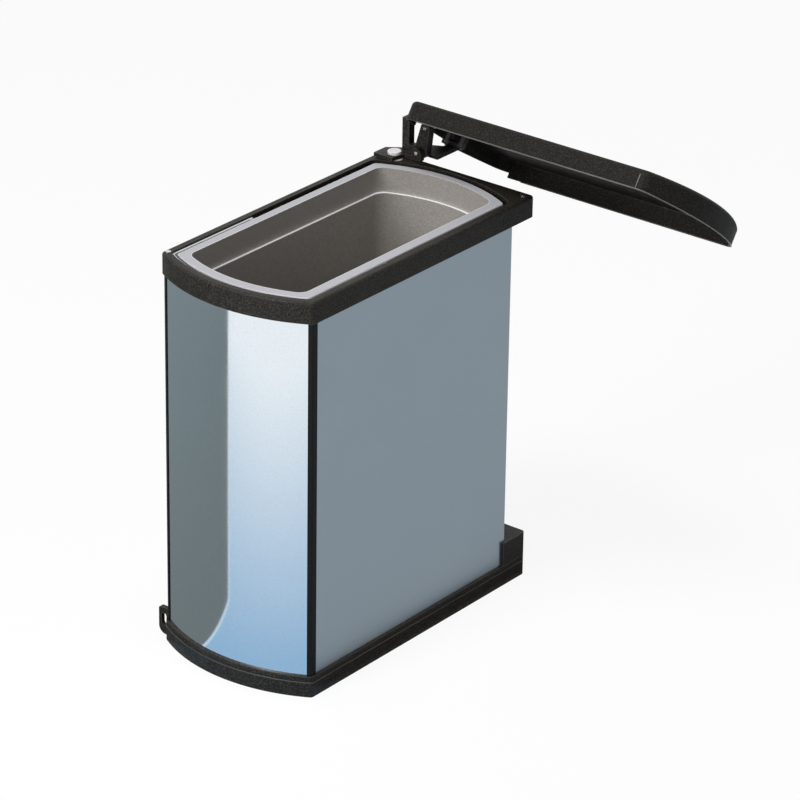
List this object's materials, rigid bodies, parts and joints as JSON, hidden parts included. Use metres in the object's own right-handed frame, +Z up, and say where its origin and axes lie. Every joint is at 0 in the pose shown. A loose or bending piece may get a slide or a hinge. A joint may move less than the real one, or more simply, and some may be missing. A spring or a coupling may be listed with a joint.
{
  "type": "under-cabinet swing-out trash can",
  "caption": "Swing-out waste bin for inside a sink cabinet: housing turns on a wall-fixed column, the lid lifts and tilts as it opens, and a stepped inner bin with a bail sits in the frame.",
  "frame": {"origin": "middle of the base tray's flat underside, on the surface it stands on", "axes": "+Z up; -Y the bowed front of the housing as it stands swung out; +X its right side"},
  "size_m": [0.3395, 0.4715, 0.446],
  "materials": {
    "black_plastic": "fine-grained moulded black plastic",
    "lid_plastic": "grained black plastic with a soft warm sheen",
    "black_trim": "satin black extruded trim",
    "polished_steel": "polished stainless sheet, mirror-like across the bow",
    "satin_steel": "fine satin stainless sheet, blue-grey",
    "bright_steel": "bright zinc-plated steel",
    "coated_steel": "black powder coat",
    "grey_liner": "pale grey moulded polypropylene",
    "pale_handle": "smooth near-white plastic",
    "white_nylon": "natural nylon",
    "white_cap": "plain glossy white cap"
  },
  "bodies": {
    "bracket": {"wall_plate": "coated_steel", "upper_clamp": "black_plastic", "lower_clamp": "black_plastic", "clamp_screws": "bright_steel", "pivot_column": "bright_steel", "retaining_collar": "bright_steel", "hinge_arm": "black_plastic", "arm_screw": "bright_steel", "round_cap": "white_cap", "lift_pivot_pin": "bright_steel"},
    "housing": {"base_tray": "black_plastic", "top_frame": "black_plastic", "frame_rivets": "bright_steel", "upper_bush": "white_nylon", "lower_bush": "white_nylon", "front_skin": "polished_steel", "right_skin": "satin_steel", "left_skin": "satin_steel", "rear_skin": "satin_steel", "right_strip": "black_trim", "left_strip": "black_trim", "inner_bin": "grey_liner", "door_loop": "black_plastic", "loop_screws": "bright_steel"},
    "handle": {"bail_handle": "pale_handle"},
    "lid": {"lid_shell": "lid_plastic", "lid_hinge_plate": "coated_steel", "lid_hinge_pin": "bright_steel", "lid_screws": "bright_steel"},
    "lift": {"lift_arm": "black_plastic", "lift_tip_pin": "bright_steel", "lift_roller": "white_nylon"}
  },
  "joints": [
    {"name": "housing_swing", "type": "hinge", "parent": "bracket", "child": "housing", "pos_m": [-0.0665, 0.145, 0], "axis": [0, 0, 1], "range_deg": [0, 90]},
    {"name": "lid_tilt", "type": "hinge", "parent": "bracket", "child": "lid", "pos_m": [0, 0.198, 0.39], "axis": [1, 0, 0], "range_deg": [0, 35]},
    {"name": "lift_arm_turn", "type": "hinge", "parent": "bracket", "child": "lift", "pos_m": [-0.045, 0.16, 0.3932], "axis": [0, 1, 0], "range_deg": [0, 78]},
    {"name": "handle_swing", "type": "hinge", "parent": "housing", "child": "handle", "pos_m": [0, -0.045, 0.3805], "axis": [-1, 0, 0], "range_deg": [0, 175]}
  ],
  "couplings": [
    {"joint": "lid_tilt", "follows": "housing_swing", "ratio": 0.38889},
    {"joint": "lift_arm_turn", "follows": "housing_swing", "ratio": 0.86667}
  ]
}
